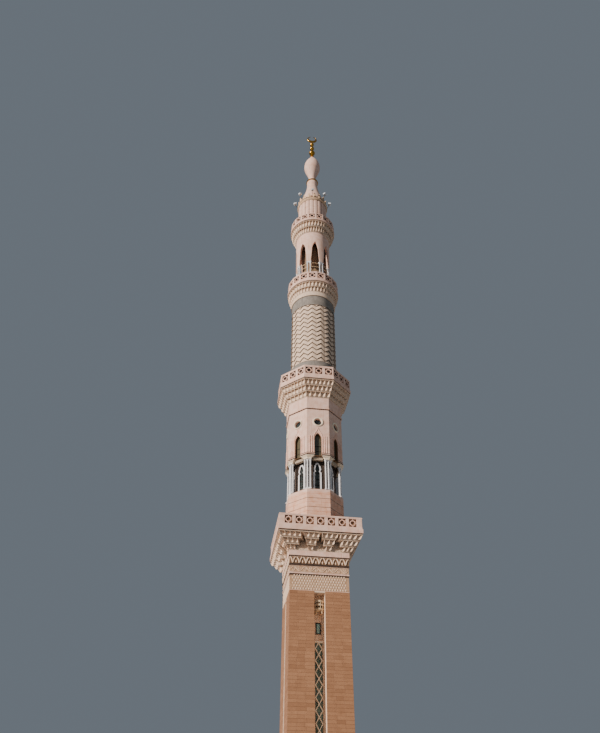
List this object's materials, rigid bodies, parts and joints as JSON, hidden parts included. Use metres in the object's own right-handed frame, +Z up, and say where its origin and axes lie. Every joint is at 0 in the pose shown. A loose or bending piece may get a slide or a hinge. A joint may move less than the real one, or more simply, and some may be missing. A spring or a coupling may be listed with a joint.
{
  "type": "minaret scale model",
  "caption": "Scale model of a slender tiered minaret: square granite shaft, octagon with colonnettes, carved cylinder, open drum, ribbed crown and gilded crescent.",
  "frame": {"origin": "centre of the square base, on the surface the model stands on", "axes": "+Z up along the tower's axis, -Y out of the front face of the square shaft"},
  "size_m": [0.834, 0.834, 10.3786],
  "materials": {
    "granite": "sawn granite courses",
    "pink_stone": "smooth cast stone",
    "cream_stone": "carved cast stone",
    "grey_stone": "smooth cast stone",
    "marble": "honed marble",
    "window_glass": "tinted glass in a dark frame",
    "gilding": "gilded metal",
    "lamp_metal": "light painted lamp housings"
  },
  "bodies": {
    "root": {"shaft_base": "granite", "shaft_pier_southeast": "granite", "shaft_pier_northeast": "granite", "shaft_pier_northwest": "granite", "shaft_pier_southwest": "granite", "recess_wall_south": "pink_stone", "recess_wall_east": "pink_stone", "recess_wall_north": "pink_stone", "recess_wall_west": "pink_stone", "lattice_screen_south": "cream_stone", "lattice_screen_east": "cream_stone", "lattice_screen_north": "cream_stone", "lattice_screen_west": "cream_stone", "oriel_balcony_south": "cream_stone", "oriel_balcony_east": "cream_stone", "oriel_balcony_north": "cream_stone", "oriel_balcony_west": "cream_stone", "carved_courses": "pink_stone", "muqarnas_1": "cream_stone", "balcony_floor_1": "pink_stone", "balustrade_1": "pink_stone", "octagon_foot": "pink_stone", "octagon_floor": "pink_stone", "colonnettes_sse": "marble", "colonnettes_ese": "marble", "colonnettes_ene": "marble", "colonnettes_nne": "marble", "colonnettes_nnw": "marble", "colonnettes_wnw": "marble", "colonnettes_wsw": "marble", "colonnettes_ssw": "marble", "octagon_inner_wall": "marble", "octagon_inner_ring": "marble", "octagon_arcade": "pink_stone", "octagon_band": "pink_stone", "muqarnas_2": "cream_stone", "balcony_floor_2": "pink_stone", "balustrade_2": "pink_stone", "cylinder_foot": "grey_stone", "cylinder_shaft": "cream_stone", "cylinder_collar": "grey_stone", "muqarnas_3": "cream_stone", "balcony_floor_3": "pink_stone", "balustrade_3": "pink_stone", "drum_core": "granite", "drum_colonnettes": "marble", "drum_arcade": "pink_stone", "muqarnas_4": "cream_stone", "balcony_floor_4": "pink_stone", "balustrade_4": "pink_stone", "fluted_drum": "grey_stone", "crown_cornice": "pink_stone", "crown_lamps": "lamp_metal", "bell_roof": "pink_stone", "neck_ring": "gilding", "finial_bulb": "pink_stone", "finial_staff": "gilding", "crescent": "gilding"}
  },
  "joints": []
}
